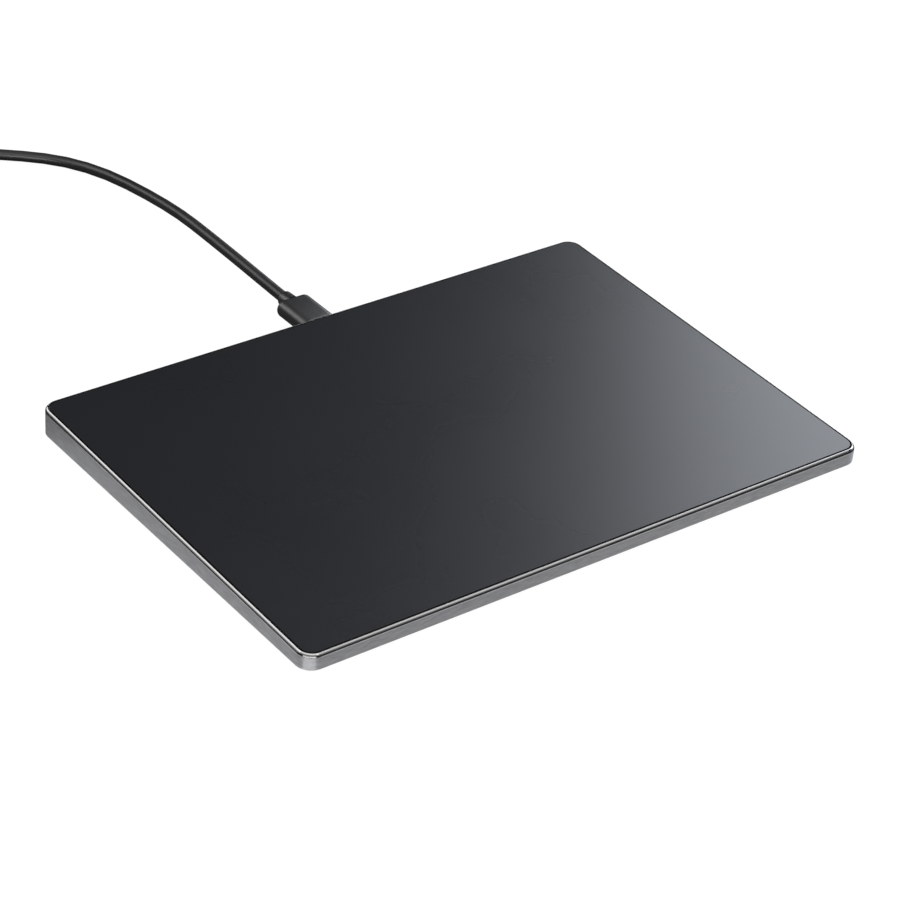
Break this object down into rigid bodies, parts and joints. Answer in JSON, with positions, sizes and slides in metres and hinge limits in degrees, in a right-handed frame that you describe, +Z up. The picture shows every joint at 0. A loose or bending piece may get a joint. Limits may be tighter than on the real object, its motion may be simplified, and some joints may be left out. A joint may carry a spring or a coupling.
{
  "type": "trackpad",
  "caption": "Wedge-shaped click trackpad with a dark glass plate in a metal wall and a data cord that plugs into its back.",
  "frame": {"origin": "middle of the pad's footprint, on the surface that its feet stand on", "axes": "+Z up, +X along the long side to the user's right, +Y from the low front edge to the high back edge"},
  "size_m": [0.1771, 0.2517, 0.0079],
  "materials": {
    "anodised_metal": "bead-blasted dark grey anodised, polished rim",
    "dark_glass": "satin etched, black backed",
    "foot_rubber": "matte",
    "steel": "bright nickel",
    "circuit_board": "solder mask",
    "black_plastic": "matte",
    "ribbon_film": "amber film",
    "clear_adhesive": "black film adhesive",
    "soft_pad": "matte",
    "plunger_plastic": "natural",
    "plug_plastic": "satin moulded",
    "cord_jacket": "semi-gloss",
    "tie_strap": "matte"
  },
  "bodies": {
    "base": {"housing": "anodised_metal", "bottom_plate": "anodised_metal", "bottom_screws": "steel", "foot_front_left": "foot_rubber", "foot_front_right": "foot_rubber", "foot_rear_left": "foot_rubber", "foot_rear_right": "foot_rubber", "interface_board": "circuit_board", "board_screws": "steel", "interface_chip": "black_plastic", "socket_shell": "steel", "socket_tongue": "black_plastic", "flex_connector": "black_plastic", "sensor_flex": "ribbon_film", "switch_board": "circuit_board", "switch_flex": "ribbon_film", "switch_housing_left": "black_plastic", "switch_housing_right": "black_plastic", "travel_stop_pads": "soft_pad", "hinge_screws": "steel"},
    "click_plate": {"glass_plate": "dark_glass", "plate_adhesive": "clear_adhesive", "sensor_board": "circuit_board", "stiffener_plate": "steel", "touch_chip": "black_plastic", "sensor_connector": "black_plastic", "press_pads": "soft_pad", "hinge_leaf_left": "steel", "hinge_leaf_right": "steel", "leaf_rivets": "steel"},
    "plunger_left": {"switch_plunger_left": "plunger_plastic"},
    "plunger_right": {"switch_plunger_right": "plunger_plastic"},
    "cable": {"plug_shell": "steel", "plug_insert": "black_plastic", "plug_body": "plug_plastic", "plug_relief": "plug_plastic", "cord": "cord_jacket", "cord_coil": "cord_jacket", "coil_tie": "tie_strap", "cord_tail": "cord_jacket", "far_plug_relief": "plug_plastic", "far_plug_body": "plug_plastic", "far_plug_shell": "steel", "far_plug_insert": "black_plastic"}
  },
  "joints": [
    {"name": "plate_press", "type": "hinge", "parent": "base", "child": "click_plate", "pos_m": [0, 0.04425, 0.00573], "axis": [1, 0, 0], "range_deg": [0, 0.17354], "stiffness_Nm_per_rad": 22, "springref_deg": -0.34},
    {"name": "left_click", "type": "slide", "parent": "base", "child": "plunger_left", "axis": [0, 0, -1], "range_m": [0, 0.00028]},
    {"name": "right_click", "type": "slide", "parent": "base", "child": "plunger_right", "axis": [0, 0, -1], "range_m": [0, 0.00028]},
    {"name": "plug_pull", "type": "slide", "parent": "base", "child": "cable", "axis": [0, 1, 0], "range_m": [0, 0.012]}
  ],
  "couplings": [
    {"joint": "left_click", "follows": "plate_press", "m_per_rad": 0.08825},
    {"joint": "right_click", "follows": "plate_press", "m_per_rad": 0.08825}
  ]
}
